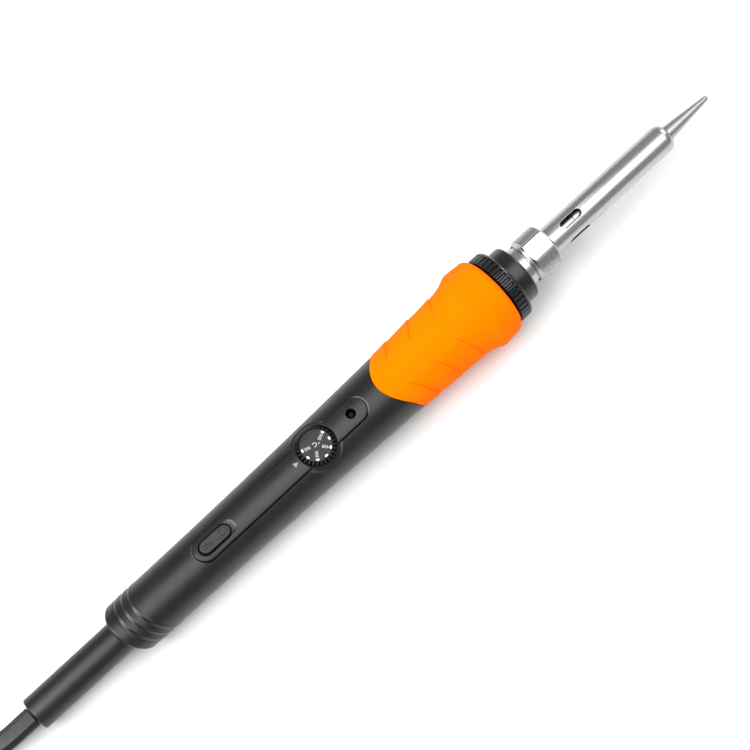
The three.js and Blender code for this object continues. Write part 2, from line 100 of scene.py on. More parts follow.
def linked(name, data):
    """A new object, put in the scene."""
    obj = bpy.data.objects.new(name, data)
    bpy.context.scene.collection.objects.link(obj)
    return obj


# Camera

VIEW_DISTANCE = 558
VIEW_ASIDE = 6.19
VIEW_TILT = math.radians(14)
VIEW_LEAN = math.radians(8.5)
VIEW_ROLL = math.radians(42.5)
LENS = 86.4
SENSOR_WIDTH = 36


def camera():
    """Looks down on the control strip, from a little to one side and towards the tail."""
    facing = Euler((VIEW_TILT, -VIEW_LEAN, 0), "ZYX").to_matrix()
    data = bpy.data.cameras.new("camera")
    data.lens = LENS
    data.sensor_width = SENSOR_WIDTH
    data.clip_start, data.clip_end = 0.01, 20
    obj = linked("camera", data)
    place = Matrix.Translation(to_row(facing @ Vector((0, VIEW_ASIDE, VIEW_DISTANCE))))
    rolled = facing @ Matrix.Rotation(-VIEW_ROLL, 3, "Z")
    obj.matrix_world = place @ (Matrix(AXES.T.tolist()) @ rolled).to_4x4()
    bpy.context.scene.camera = obj


camera()


# Mesh helpers


def mesh_object(name, points, faces, place=to_row):
    """A clean mesh from points and faces, with shared points joined and faces turned out."""
    mesh = bpy.data.meshes.new(name)
    mesh.from_pydata(place(points).tolist(), [], faces)
    work = bmesh.new()
    work.from_mesh(mesh)
    bmesh.ops.remove_doubles(work, verts=work.verts, dist=2e-7)
    bmesh.ops.recalc_face_normals(work, faces=work.faces)
    work.to_mesh(mesh)
    work.free()
    return linked(name, mesh)


def ring_faces(rows, columns, closed):
    """Quads over a grid whose rows are rings. A closed grid also joins its last row to its first."""
    faces = []
    for i in range(rows if closed else rows - 1):
        for j in range(columns):
            k, below = (j + 1) % columns, (i + 1) % rows
            faces.append((i * columns + j, i * columns + k, below * columns + k, below * columns + j))
    return faces


def around(count):
    """Angles spread evenly round a turn."""
    return np.arange(count) * TURN / count


def rounded(corners, closed=True, steps=4):
    """An outline through (x, y, fillet radius) corners, with an arc at each one."""
    points = np.array([corner[:2] for corner in corners], float)
    out = []
    for i, (here, corner) in enumerate(zip(points, corners)):
        if len(corner) < 3 or (not closed and i in (0, len(points) - 1)):
            out.append(here)
            continue
        a, b = points[i - 1] - here, points[(i + 1) % len(points)] - here
        long_a, long_b = np.linalg.norm(a), np.linalg.norm(b)
        a, b = a / long_a, b / long_b
        half = math.acos(np.clip(a @ b, -1, 1)) / 2
        reach = min(corner[2] / math.tan(half), 0.49 * long_a, 0.49 * long_b)
        middle = (a + b) / np.linalg.norm(a + b) * reach / math.cos(half)
        first, last = a * reach - middle, b * reach - middle
        swing = math.pi - 2 * half
        for share in np.arange(steps + 1) / steps:
            bend = math.sin((1 - share) * swing) * first + math.sin(share * swing) * last
            out.append(here + middle + bend / math.sin(swing))
    return np.array(out)


def divided(outline, least_radius, step=0.2):
    """The outline with points about every step along its stretches beyond a radius."""
    out = []
    for a, b in zip(outline, np.roll(outline, -1, axis=0)):
        out.append(a)
        if min(a[1], b[1]) > least_radius:
            count = math.ceil(np.linalg.norm(b - a) / step)
            out += [a + (b - a) * k / count for k in range(1, count)]
    return np.array(out)


def on_axis(x, radius, angle):
    """Points at a radius from the iron's axis, at an angle round from the top."""
    return np.stack([x, radius * np.sin(angle), radius * np.cos(angle)], axis=-1).reshape(-1, 3)


def turned(name, corners, sides=96, closed=True, shape=None, steps=4, fine_beyond=None, place=to_row):
    """A solid turned about the x axis from (x, radius, fillet) corners.

    shape(x, angle, radius) gives the radius where it varies round the turn, and the outline is
    finely divided beyond the radius fine_beyond.
    """
    outline = rounded(corners, closed, steps)
    if fine_beyond:
        outline = divided(outline, fine_beyond)
    x, angle = np.meshgrid(outline[:, 0], around(sides), indexing="ij")
    radius = np.repeat(outline[:, 1:2], sides, axis=1)
    if shape:
        radius = shape(x, angle, radius)
    return mesh_object(name, on_axis(x, radius, angle), ring_faces(len(outline), sides, closed), place)


def ringed(name, rings, angle):
    """A closed solid through rings round the iron's axis. A ring is an x and a radius, at each angle."""
    points = np.concatenate([on_axis(x + 0 * angle, r + 0 * angle, angle) for x, r in rings])
    return mesh_object(name, points, ring_faces(len(rings), len(angle), True))


def upright_ring(name, x, outline, count, place=to_row):
    """A ring about an upright line at x, from a closed outline of (radius, z) points."""
    points = [(x + r * math.cos(a), r * math.sin(a), z) for a in around(count) for r, z in outline]
    return mesh_object(name, points, ring_faces(count, len(outline), True), place)


def circle(x, radius, count=96):
    angle = around(count)
    return np.stack([x + radius * np.cos(angle), radius * np.sin(angle)], axis=-1)


def rectangle(low_x, high_x, low_y, high_y, *fillet):
    """Corners for rounded(), or for a plain loop."""
    return [(x, y, *fillet) for x, y in ((low_x, low_y), (high_x, low_y), (high_x, high_y), (low_x, high_y))]


def stadium(rear_x, front_x, half_width, count=96):
    """An outline with round ends along x, as points spread round it."""
    straight = front_x - rear_x - 2 * half_width
    quarter = RIGHT * half_width
    at = (straight + 2 * quarter) * 2 * np.arange(count // 2 + 1) / count
    rear_turn = np.minimum(at / half_width, RIGHT)
    front_turn = np.maximum(at - quarter - straight, 0) / half_width
    along = np.clip(at - quarter, 0, straight)
    x = rear_x + half_width * (1 - np.cos(rear_turn) + np.sin(front_turn)) + along
    near = np.column_stack([x, -half_width * np.sin(rear_turn) * np.cos(front_turn)])
    return np.concatenate([near, near[-2:0:-1] * (1, -1)])


def level(flat, z):
    """An (x, y) outline as a loop at height z."""
    flat = np.asarray(flat, float)
    return np.column_stack([flat, np.broadcast_to(z, len(flat))])


def stack(name, loops, place=to_row):
    """A solid through a stack of loops of equal count, with its first and last loop filled in."""
    count = len(loops[0])
    points = np.concatenate([np.asarray(loop, float) for loop in loops])
    faces = ring_faces(len(loops), count, False)
    for first in (0, len(points) - count):
        for i in range((count - 1) // 2):
            corners = (i, i + 1, count - 1 - i, (count - i) % count)
            faces.append(tuple(first + k for k in dict.fromkeys(corners)))
        if count % 2 == 0 and count > 2:
            faces.append(tuple(first + count // 2 + k for k in (-1, 0, 1)))
    return mesh_object(name, points, faces, place)


def mesh_made_by(obj):
    """The mesh that an object's modifiers or lettering come to."""
    graph = bpy.context.evaluated_depsgraph_get()
    return bpy.data.meshes.new_from_object(obj.evaluated_get(graph))


def carve(obj, *cutters):
    """Takes the cutters out of an object's solid, and then out of the scene."""
    for cutter in cutters:
        cut = obj.modifiers.new("cut", "BOOLEAN")
        cut.operation = "DIFFERENCE"
        cut.solver = "MANIFOLD"
        cut.object = cutter
    mesh = mesh_made_by(obj)
    obj.modifiers.clear()
    obj.data = mesh
    for cutter in cutters:
        bpy.data.objects.remove(cutter)


def joined(name, parts):
    """Several separate solids as the shells of one mesh."""
    work = bmesh.new()
    for part in parts:
        work.from_mesh(part.data)
        bpy.data.objects.remove(part)
    mesh = bpy.data.meshes.new(name)
    work.to_mesh(mesh)
    work.free()
    return linked(name, mesh)


def dress(obj, look, *nodes, body="handle", slot="black_plastic", sharp=32):
    """Gives a finished piece its look, the CAD nodes that it stands for and its body. slot is not used."""
    obj.data.materials.clear()
    obj.data.materials.append(LOOK[look])
    obj.data.shade_smooth()
    obj.data.set_sharp_from_angle(angle=math.radians(sharp))
    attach(obj, body)
    if nodes:
        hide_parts(*nodes)
    return obj


def ease(value):
    """From 0 to 1 with a soft start and end."""
    value = np.clip(value, 0, 1)
    return value * value * (3 - 2 * value)


def edge_drop(inset, size):
    """How far an edge rounded to this size has dropped, at this distance in from the side."""
    return size * (1 - math.sqrt(1 - (1 - min(inset, size) / size) ** 2))


# Materials


def fill(node, **inputs):
    """Gives a shader node's inputs their values, or the outputs that feed them."""
    for name, value in inputs.items():
        socket = node.inputs[name.replace("_", " ")]
        if isinstance(value, bpy.types.NodeSocket):
            node.id_data.links.new(value, socket)
        else:
            socket.default_value = value
    return node


def material(name, colour, roughness, metallic=0.0, rings=1.0, mottle=None, wear=None, relief=None):
    """A procedural material, whose colour, roughness and normal vary with noise.

    mottle, wear and relief each start with the noise: the size of its lumps in millimetres, its
    detail and its roughness. The last value is a share of the colour either way, an amount of
    roughness either way, or a height in millimetres. rings makes the noise finer along the iron.
    """
    made = bpy.data.materials.new(name)
    made.use_nodes = True
    nodes = made.node_tree.nodes
    shader = fill(nodes["Principled BSDF"], Base_Color=(*colour, 1), Roughness=roughness, Metallic=metallic)
    place = nodes.new("ShaderNodeTexCoord").outputs["Object"]
    mapping = nodes.new("ShaderNodeMapping")
    mapping.vector_type = "TEXTURE"
    fill(mapping, Vector=place, Scale=(1 / rings, 1, 1), Rotation=(0, -math.asin(AHEAD[2]), 0))

    def noise(size, detail, rough):
        node = fill(nodes.new("ShaderNodeTexNoise"), Vector=mapping.outputs["Vector"])
        return fill(node, Scale=1 / (size * MM), Detail=detail, Roughness=rough).outputs["Fac"]

    def ranged(source, low, high):
        """The usual range of noise, spread between two values."""
        node = fill(nodes.new("ShaderNodeMapRange"), Value=source, From_Min=0.3, From_Max=0.7)
        return fill(node, To_Min=low, To_Max=high).outputs["Result"]

    if mottle:
        *lumps, share = mottle
        mix = nodes.new("ShaderNodeMix")
        mix.data_type = "RGBA"
        dark, light = ((*(c * (1 + way * share) for c in colour), 1) for way in (-1, 1))
        fill(mix, Factor=ranged(noise(*lumps), 0, 1), A=dark, B=light)
        fill(shader, Base_Color=mix.outputs["Result"])
    if wear:
        *lumps, amount = wear
        fill(shader, Roughness=ranged(noise(*lumps), roughness - amount, roughness + amount))
    if relief:
        *lumps, height = relief
        bump = fill(nodes.new("ShaderNodeBump"), Height=noise(*lumps), Distance=height * MM, Strength=1)
        fill(shader, Normal=bump.outputs["Normal"])
    return made


def moulded(name, colour, roughness, grain, depth, spread=0.05):
    """Moulded plastic or rubber: fine spark-eroded grain, faint flow marks and handling shine."""
    marks, shine = (9, 4, 0.5, spread), (5, 5, 0.5, 0.04)
    return material(name, colour, roughness, mottle=marks, wear=shine, relief=(grain, 2, 0.5, depth))


def turned_metal(name, colour, roughness, rings, depth):
    """Turned metal: fine rings round the axis, and soft smudges."""
    clouds, smudges = (18, 3, 0.5, 0.015), (8, 4, 0.5, 0.02)
    return material(name, colour, roughness, 1.0, rings, clouds, smudges, (4, 3, 0.7, depth))


BLACK = (0.003, 0.0032, 0.0035)
SOFT_BLACK = (0.004, 0.0042, 0.0046)
INK = (0.5, 0.08, 0.004, 0.04)
WIRE = (0.5, 0.2, 0.006)
# What each one is made from: name, colour, roughness, grain size and depth, and spread of colour.
PLASTICS = {
    "shell": ("handle_plastic", BLACK, 0.38, 0.13, 0.004),
    "panel": ("panel_plastic", SOFT_BLACK, 0.38, 0.11, 0.004),
    "ribbed": ("collar_plastic", (0.0025, 0.003, 0.0042), 0.22, 0.15, 0.003),
    "cap": ("cap_plastic", (0.004, 0.0048, 0.0066), 0.32, 0.13, 0.005),
    "dial": ("dial_plastic", (0.0025, 0.0025, 0.0028), 0.42, 0.1, 0.006),
    "dial_face": ("dial_face_plastic", (0.026, 0.026, 0.028), 0.45, 0.1, 0.005),
    "grip": ("grip_rubber", (1.0, 0.165, 0.0), 0.8, 0.2, 0.01, 0.03),
    "relief": ("relief_rubber", BLACK, 0.4, 0.18, 0.008),
    "sheath": ("sheath_pvc", BLACK, 0.45, 0.3, 0.008),
    "plug": ("plug_pvc", SOFT_BLACK, 0.5, 0.25, 0.015),
    "ink": ("printed_ink", (0.8, 0.8, 0.79), *INK),
    "number_ink": ("number_ink", (0.5, 0.5, 0.5), *INK),
    "grey_ink": ("pointer_ink", (0.24, 0.24, 0.24), *INK),
    "lamp": ("lamp_lens", (0.003, 0.001, 0.001), 0.6, 0.3, 0.002),
    "oxide": ("oxidised_steel", (0.012, 0.0115, 0.011), 0.7, 0.3, 0.006),
    # The heater's ceramic is painted near black: painted shade for the barrel's inside, seen through the
    # vent slots.
    "ceramic": ("heater_ceramic", (0.03, 0.029, 0.028), 0.6, 0.2, 0.01),
    "board": ("board_laminate", (0.004, 0.03, 0.012), 0.4, 0.4, 0.01, 0.15),
    "chip": ("chip_epoxy", (0.02, 0.02, 0.021), 0.45, 0.12, 0.01),
    "film": ("film_coating", (0.55, 0.36, 0.06), 0.4, 0.8, 0.02, 0.1),
    "blue": ("pot_housing", (0.012, 0.013, 0.016), 0.4, 0.3, 0.006),
    "foil": ("capacitor_sleeve", (0.02, 0.026, 0.09), 0.3, 0.5, 0.004),
    "resistor": ("resistor_coat", (0.4, 0.3, 0.18), 0.5, 0.2, 0.008),
    "red_wire": ("red_insulation", (0.5, 0.03, 0.02), *WIRE),
    "white_wire": ("white_insulation", (0.75, 0.72, 0.64), *WIRE),
    "blue_wire": ("blue_insulation", (0.02, 0.09, 0.38), *WIRE),
    "brown_wire": ("brown_insulation", (0.14, 0.05, 0.02), *WIRE),
}
# Name, colour, roughness, how much finer the noise is along the axis, and depth of the rings.
METALS = {
    "steel": ("turned_steel", (0.46, 0.457, 0.45), 0.28, 30, 0.0012),
    "nut": ("nut_steel", (0.45, 0.447, 0.44), 0.28, 6, 0.001),
    "tip": ("tip_plating", (0.44, 0.43, 0.418), 0.32, 20, 0.006),
    "pin": ("pin_plating", (0.76, 0.74, 0.69), 0.22, 12, 0.002),
    "brass": ("shaft_brass", (0.55, 0.4, 0.17), 0.3, 12, 0.003),
    "screw": ("screw_steel", (0.6, 0.59, 0.57), 0.32, 12, 0.003),
}


def woven(name, colour, roughness):
    """A coarse dull weave."""
    return material(name, colour, roughness, mottle=(2, 4, 0.5, 0.25), relief=(0.35, 5, 0.7, 0.12))


# What differs from the shader's own values.
FINISHES = {
    **dict.fromkeys(("dial", "dial_face", "lamp", "oxide", "ceramic"), {"Specular_IOR_Level": 0.2}),
    "grip": {"Specular_IOR_Level": 0.08, "Specular_Tint": (1, 0.35, 0.05, 1)},
    "steel": {"Anisotropic": 0.35},
    "strap": {"Sheen_Weight": 0.3},
}


def looks():
    made = {name: moulded(*values) for name, values in PLASTICS.items()}
    made.update({name: turned_metal(*values) for name, values in METALS.items()})
    made["strap"] = woven("tie_strap", (0.016, 0.016, 0.017), 0.8)
    for name, finish in FINISHES.items():
        fill(made[name].node_tree.nodes["Principled BSDF"], **finish)
    return made


LOOK = looks()


# The lead

CORD_WIDTH = 6.6
CORD_THICKNESS = 4.3
CORD_STEP = 1.5

# The hank: two folds joined by a waist, in turns side by side and in layers.
FOLD_RADIUS = 20
WAIST_RADIUS = 29
FOLD_HALF_SPAN = 32.1
REACH = FOLD_RADIUS + WAIST_RADIUS
LEAN = math.asin(FOLD_HALF_SPAN / REACH)
WAIST_Y = math.sqrt(REACH**2 - FOLD_HALF_SPAN**2)
TURN_PITCH = 4.7
LAYER_PITCH = 6.8
WAIST_LAYER_PITCH = 6.7
HANK_TURNS = 5
HANK_FROM_EXIT = -87.6
SHIFT_LENGTH = 22
SHIFT_SPACING = 17
TIE_LIFT = 0.62
TIE_REACH = 9.0

EXIT_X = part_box("cord_lead")[1].x / MM + 0.3
HANK_X = EXIT_X + HANK_FROM_EXIT

# The lead near the relief: x and y from the exit, height above the table.
LEAD_ROUTE = [
    (-0.3, 0, 7.5), (-4, 0, 7.3), (-8, 0, 7), (-12, 0.3, 6.6),
    (-16, 1.1, 6), (-20, 2.5, 5.3), (-24, 4.6, 4.7), (-26, 6, 4.4),
]
# Centres of the two bends from there to the hank, from the exit.
BEND_CENTRES = ((-8, 29), (-55.5, -4.3))
# The last stretch, over the tie and into the plug: x from the hank's middle, y, height.
END_ROUTE = [(4.6, 8.1, 24.6), (1, 8, 25.4), (-3, 8, 26.4), (-6, 8, 27.1), (-9.3, 8, 27.35)]

# One turn of the hank from the top of its near fold. For each arc: its centre, its radius,
# 1 where it bulges out of the hank or -1 where it bulges in, and its first and last angle.
HANK_ARCS = [
    ((FOLD_HALF_SPAN, 0), FOLD_RADIUS, 1, RIGHT, RIGHT + LEAN),
    ((0, WAIST_Y), WAIST_RADIUS, -1, LEAN - RIGHT, -RIGHT - LEAN),
    ((-FOLD_HALF_SPAN, 0), FOLD_RADIUS, 1, RIGHT - LEAN, 3 * RIGHT + LEAN),
    ((0, -WAIST_Y), WAIST_RADIUS, -1, RIGHT + LEAN, RIGHT - LEAN),
    ((FOLD_HALF_SPAN, 0), FOLD_RADIUS, 1, -RIGHT - LEAN, RIGHT),
]


def arc_angles(radius, start, end):
    """Angles about every CORD_STEP along an arc."""
    count = max(2, round(abs(end - start) * radius / CORD_STEP))
    return np.linspace(start, end, count, endpoint=False)


def arc(centre, radius, start, end):
    """Points about every CORD_STEP along an arc, in the plane of the table."""
    angle = arc_angles(radius, start, end)
    return np.array(centre) + radius * np.stack([np.cos(angle), np.sin(angle)], axis=-1)


def hank_turns():
    """The five turns, each as points (x, y, z) from the hank's middle.

    Every turn changes its place once on its way back, so that none crosses another: from the
    outside of the first layer to its inside, up to the second, outwards, up to the third, inwards.
    """
    outer, inner = TURN_PITCH, 0
    places = np.array([(outer, 0), (inner, 0), (inner, 1), (outer, 1), (outer, 2), (inner, 2)], float)
    points = []
    for turn in range(HANK_TURNS):
        middle = (HANK_TURNS // 2 - turn) * SHIFT_SPACING
        on_way_back = False
        for centre, radius, bulge, begin, end in HANK_ARCS:
            for angle in arc_angles(radius, begin, end):
                out = np.array([math.cos(angle), math.sin(angle)])
                x, y = centre + radius * out
                share = float(on_way_back)
                if y < 0:
                    on_way_back = True
                    share = ease((x - middle) / SHIFT_LENGTH + 0.5)
                offset, layer = places[turn] + (places[turn + 1] - places[turn]) * share
                in_tie = math.exp(-((x / TIE_REACH) ** 4))
                pitch = LAYER_PITCH + (WAIST_LAYER_PITCH - LAYER_PITCH) * in_tie
                z = CORD_WIDTH / 2 + TIE_LIFT * in_tie + layer * pitch
                points.append((*(centre + (radius + offset * bulge) * out), z))
    return np.array(points)


def smooth_path(points, step):
    """Points this far apart along a Catmull-Rom curve through the given ones."""
    padded = np.vstack([2 * points[0] - points[1], points, 2 * points[-1] - points[-2]])
    dense = []
    for a, b, c, d in zip(padded, padded[1:], padded[2:], padded[3:]):
        for t in np.linspace(0, 1, 8, endpoint=False):
            square, cube = 2 * a - 5 * b + 4 * c - d, 3 * b - a - 3 * c + d
            dense.append(0.5 * (2 * b + (c - a) * t + square * t**2 + cube * t**3))
    dense.append(points[-1])
    return spaced(np.array(dense), step)


def distances(path):
    """How far along a path each of its points is."""
    return np.concatenate([[0], np.cumsum(np.linalg.norm(np.diff(path, axis=0), axis=1))])


def spaced(points, step):
    """The same line with its points this far apart."""
    along = distances(points)
    at = np.linspace(0, along[-1], max(2, round(along[-1] / step) + 1))
    return np.stack([np.interp(at, along, points[:, i]) for i in range(3)], axis=-1)


def cord_route():
    """The lead's centreline in the row frame, in millimetres."""
    (x_1, y_1), (x_2, y_2) = BEND_CENTRES
    meet = math.atan2(y_1 - y_2, x_1 - x_2)
    bends = np.concatenate([
        arc(BEND_CENTRES[0], WAIST_RADIUS, -RIGHT, meet - math.pi),
        arc(BEND_CENTRES[1], WAIST_RADIUS, meet, RIGHT),
    ])
    lead_x, _, lead_z = LEAD_ROUTE[-1]
    bends = bends[bends[:, 0] < lead_x - 2]
    fall = ease((lead_x - bends[:, 0]) / 8)
    bends = level(bends, lead_z + (CORD_WIDTH / 2 - lead_z) * fall)
    turns = hank_turns()
    end_x, _, end_z = END_ROUTE[0]
    rise = np.concatenate([
        arc((FOLD_HALF_SPAN, 0), FOLD_RADIUS, RIGHT, RIGHT + LEAN),
        arc((0, WAIST_Y), WAIST_RADIUS, LEAN - RIGHT, -RIGHT),
    ])
    rise = rise[rise[:, 0] > end_x + 3]
    share = ease((FOLD_HALF_SPAN - rise[:, 0]) / (FOLD_HALF_SPAN - end_x))
    rise = level(rise, turns[-1][2] + (end_z - turns[-1][2]) * share)
    to_hank = np.concatenate([LEAD_ROUTE, bends]) + (EXIT_X, 0, 0)
    in_hank = np.concatenate([turns, rise, END_ROUTE]) + (HANK_X, 0, 0)
    return smooth_path(spaced(np.concatenate([to_hank, in_hank]), 2.5), CORD_STEP)


def cord_section():
    """The flat lead's outline: across its width, and through its thickness."""
    width, thick = CORD_WIDTH / 2, CORD_THICKNESS / 2
    face, edge = 1.85, 0.8
    upper = [(width, edge, 0.7), (face, thick, 0.45), (-face, thick, 0.45), (-width, edge, 0.7)]
    return rounded(upper + [(-x, -y, fillet) for x, y, fillet in upper], steps=3)


def swept(name, path, section, roll):
    """A tube of a flat section along a path on the table, rolled by an angle at each point."""
    ahead = np.gradient(path, axis=0)
    ahead /= np.linalg.norm(ahead, axis=1)[:, None]
    side = np.cross([0, 0, 1], ahead)
    side /= np.linalg.norm(side, axis=1)[:, None]
    top = np.cross(ahead, side)
    cos, sin = np.cos(roll)[:, None], np.sin(roll)[:, None]
    wide = side * cos + top * sin
    thick = top * cos - side * sin
    loops = [p + section[:, :1] * w + section[:, 1:] * t for p, w, t in zip(path, wide, thick)]
    return stack(name, loops, on_table)


def lead():
    """The lead lies flat at its ends, and is rolled on edge in the hank."""
    path = cord_route()
    along = distances(path)
    on_edge = ease((along - 12) / 26) * ease((along[-1] - along - 8) / 26)
    cord = swept("mains_lead", path, cord_section(), on_edge * RIGHT)
    dress(cord, "sheath", "cord_lead", "cord_hank", "cord_end", slot="lead_sheath", sharp=40)
    return cord, path


def centred(low, high):
    """Places points about the line along x through the middle of a box on the table."""
    middle = (low + high) / 2 * (0, 1, 1)
    return lambda points: on_table(points + middle)


def squared_oval(x, wide, thick, power):
    """A loop across x. It is an ellipse at power 2 and nears a rectangle as the power grows."""
    cos, sin = np.cos(around(48)), np.sin(around(48))
    y = wide * np.copysign(np.abs(cos) ** (2 / power), cos)
    z = thick * np.copysign(np.abs(sin) ** (2 / power), sin)
    return np.column_stack([np.full(48, x), y, z])


PLUG_RELIEF = 18.0
PLUG_RELIEF_RIBS = 7
PLUG_STEPS = 28


def plug_moulding():
    """The moulded plug: a waisted body with finger ribs, and a ribbed relief for the lead."""
    low, high = box_mm("plug_body")
    face_x, shoulder_x = low[0], high[0] - PLUG_RELIEF
    _, half_width, half_thick = (high - low) / 2
    place = centred(low, high)
    loops = []
    for inset, ahead in ((0.9, 0), (0.3, 0.3), (0, 0.9)):
        loops.append(squared_oval(face_x + ahead, half_width - inset, half_thick - inset, 7))
    for i in range(1, PLUG_STEPS + 1):
        share = i / PLUG_STEPS
        x = face_x + 0.9 + (shoulder_x - face_x - 1.4) * share
        narrow = ease((share - 0.28) / 0.72)
        rib = 0.35 * (i % 3 == 0) * (0.3 < share < 0.9)
        wide = half_width + (6.6 - half_width) * narrow - rib
        thick = half_thick + (6.0 - half_thick) * ease((share - 0.5) / 0.5) - rib
        loops.append(squared_oval(x, wide, thick, 7 - 4.4 * narrow))
    loops.append(squared_oval(shoulder_x, 5.2, 4.9, 2.2))
    parts = [stack("body", loops, place)]
    pitch = (PLUG_RELIEF - 1.0) / PLUG_RELIEF_RIBS
    for i in range(PLUG_RELIEF_RIBS):
        rear = shoulder_x - 0.2 + i * pitch
        radius = 4.6 - 0.9 * i / PLUG_RELIEF_RIBS
        corners = [
            (rear - 0.4, 0), (rear - 0.4, radius - 0.9), (rear + 0.1, radius - 0.9),
            (rear + 0.1, radius, 0.3), (rear + pitch - 0.7, radius - 0.1, 0.3),
            (rear + pitch - 0.7, radius - 0.9), (rear + pitch, radius - 0.9), (rear + pitch, 0),
        ]
        parts.append(turned("rib", corners, 32, closed=False, place=place))
    return dress(joined("plug_shell", parts), "plug", "plug_body", slot="plug_plastic")


# The parts of each pin: node, look, slot and the roundness of its end.
PIN_PARTS = (("plug_pin", "pin", "pin_metal", 1.0), ("pin_sleeve", "plug", "plug_plastic", 0.15))


def plug_pins():
    """Two pins with round ends, each thinner inside a sleeve at its root."""
    pieces = []
    for i in (1, 2):
        sleeve_x = box_mm(f"pin_sleeve_{i}")[0][0] - 0.1
        for part, look, slot, taper in PIN_PARTS:
            low, high = box_mm(f"{part}_{i}")
            end_x, root_x, radius = low[0], high[0], (high - low)[2] / 2
            flank = [(root_x, radius)]
            if part == "plug_pin":
                flank = [(sleeve_x, radius), (sleeve_x, radius - 0.5), (root_x, radius - 0.5)]
            corners = [(end_x, 0), (end_x, radius, taper), *flank, (root_x, 0)]
            place = centred(low, high)
            obj = turned(f"{part}_{i}_turned", corners, 40, closed=False, steps=6, place=place)
            pieces.append(dress(obj, look, f"{part}_{i}", slot=slot))
    return pieces


def strap():
    """The tie: a soft strap round both runs of the hank, with its end lapped on top."""
    low, high = box_mm("hank_tie")
    half_thick, lap = 0.3, 0.15
    middle_x, half_width = (low[0] + high[0]) / 2, (high[0] - low[0]) / 2
    side, top = (high[1] - low[1]) / 2 - half_thick, high[2] - lap
    line = rounded(rectangle(-side, side, half_thick, top - half_thick, 3), steps=8)
    ahead = np.roll(line, -1, axis=0) - np.roll(line, 1, axis=0)
    ahead /= np.linalg.norm(ahead, axis=1)[:, None]
    section = rounded(rectangle(-half_width, half_width, -half_thick, half_thick, 0.2), steps=2)
    points = []
    for (y, z), (ahead_y, ahead_z) in zip(line, ahead):
        points += [(middle_x + x, y + ahead_z * t, z - ahead_y * t) for x, t in section]
    band = mesh_object("band", points, ring_faces(len(line), len(section), True), on_table)
    wide, edge = half_width, half_width - 0.3
    end = [(-wide, -0.3), (wide, -0.3), (wide, 0), (edge, lap), (-edge, lap), (-wide, 0)]
    loops = [[(middle_x + x * 0.96, y, top + z) for x, z in end] for y in (-9.5, -9.0, -4, 0, 2.2)]
    tab = stack("tab", loops, on_table)
    return dress(joined("lead_tie", [band, tab]), "strap", "hank_tie", slot="tie_strap")


cord_piece, cord_path = lead()
plug_pieces = [plug_moulding(), *plug_pins()]
tie_piece = strap()


# The heated end

TUBE_RADIUS = 4.9
SHANK_RADIUS = 2.75
SLOT_X, SLOT_HALF_LENGTH, SLOT_HALF_WIDTH, SLOTS = 78.65, 4.25, 1.425, 4
NIPPLE_BORE = 3.6


def repaint(obj, look, where):
    """Gives a second look to the faces that where(place on the iron) says."""
    obj.data.materials.append(LOOK[look])
    for face in obj.data.polygons:
        if where(on_iron(face.center)):
            face.material_index = 1


def soldering_tip():
    """The plated cone on its shank, with the shoulder that the barrel's end holds."""
    rear, end, _ = span("soldering_tip")
    barrel_end = span("barrel_tube")[1]
    corners = [
        (117, 0), (117, 2.15), (rear, 2.15), (rear, SHANK_RADIUS), (84, SHANK_RADIUS), (84.5, 3.1),
        (116.2, 3.1), (116.2, 3.9, 0.2), (119.3, 3.9, 0.3), (119.3, 2.65), (barrel_end, 2.65, 2),
        (end - 0.7, 0.93, 0.5), (end, 0.42, 0.3), (end, 0),
    ]
    obj = turned("tapered_tip", corners, 64, closed=False, steps=6)
    dress(obj, "tip", "soldering_tip", body="barrel", slot="tip_plating")


def heater_guard():
    """A thin steel tube over the heater, behind the tip's shank."""
    inner = span("heater_rod")[2] + 0.08
    rear, front = 66.0, span("soldering_tip")[0] - 0.1
    corners = [(rear, inner), (rear, SHANK_RADIUS, 0.1), (front, SHANK_RADIUS, 0.1), (front, inner)]
    dress(turned("heater_guard", corners, 64), "steel", body="barrel", slot="bright_steel")


def slot_cutter(turn):
    """Cuts a vent slot whose edge is a little rounded, at an angle round the barrel."""
    loops = []
    for below, grow in ((1.6, 0), (0.1, 0), (0.03, 0.03), (0, 0.1), (-1.2, 0.1)):
        length, width = SLOT_HALF_LENGTH + grow, SLOT_HALF_WIDTH + grow
        x, y = stadium(SLOT_X - length, SLOT_X + length, width, 48).T
        z = np.sqrt(TUBE_RADIUS**2 - y**2) - below
        cos, sin = math.cos(turn), math.sin(turn)
        loops.append(np.column_stack([x, y * cos - z * sin, y * sin + z * cos]))
    return stack("slot", loops)


def barrel():
    """The steel tube, with a flange, a rounded shoulder, vent slots and a darkened inside."""
    rear, end, _ = span("barrel_tube")
    shoulder = [(end - 3 + 2.6 * math.sin(a), 3.15 + 1.75 * math.cos(a)) for a in np.linspace(0, RIGHT, 10)]
    corners = [
        (rear, 4.0), (rear, 6.3, 0.2), (64.2, 6.3, 0.2), (64.2, TUBE_RADIUS), *shoulder,
        (end - 0.9, 2.95), (119.7, 2.95), (119.7, 4.0),
    ]
    obj = turned("vented_barrel", corners, 128, steps=8)
    carve(obj, *(slot_cutter(math.radians(3 + 90 * i)) for i in range(SLOTS)))
    dress(obj, "steel", "barrel_tube", body="barrel", slot="bright_steel", sharp=28)

    def heated(at):
        radius = math.hypot(at[1], at[2])
        return radius < 4.1 or (abs(at[0] - SLOT_X) < 4.45 and radius < TUBE_RADIUS - 0.06)

    repaint(obj, "oxide", heated)


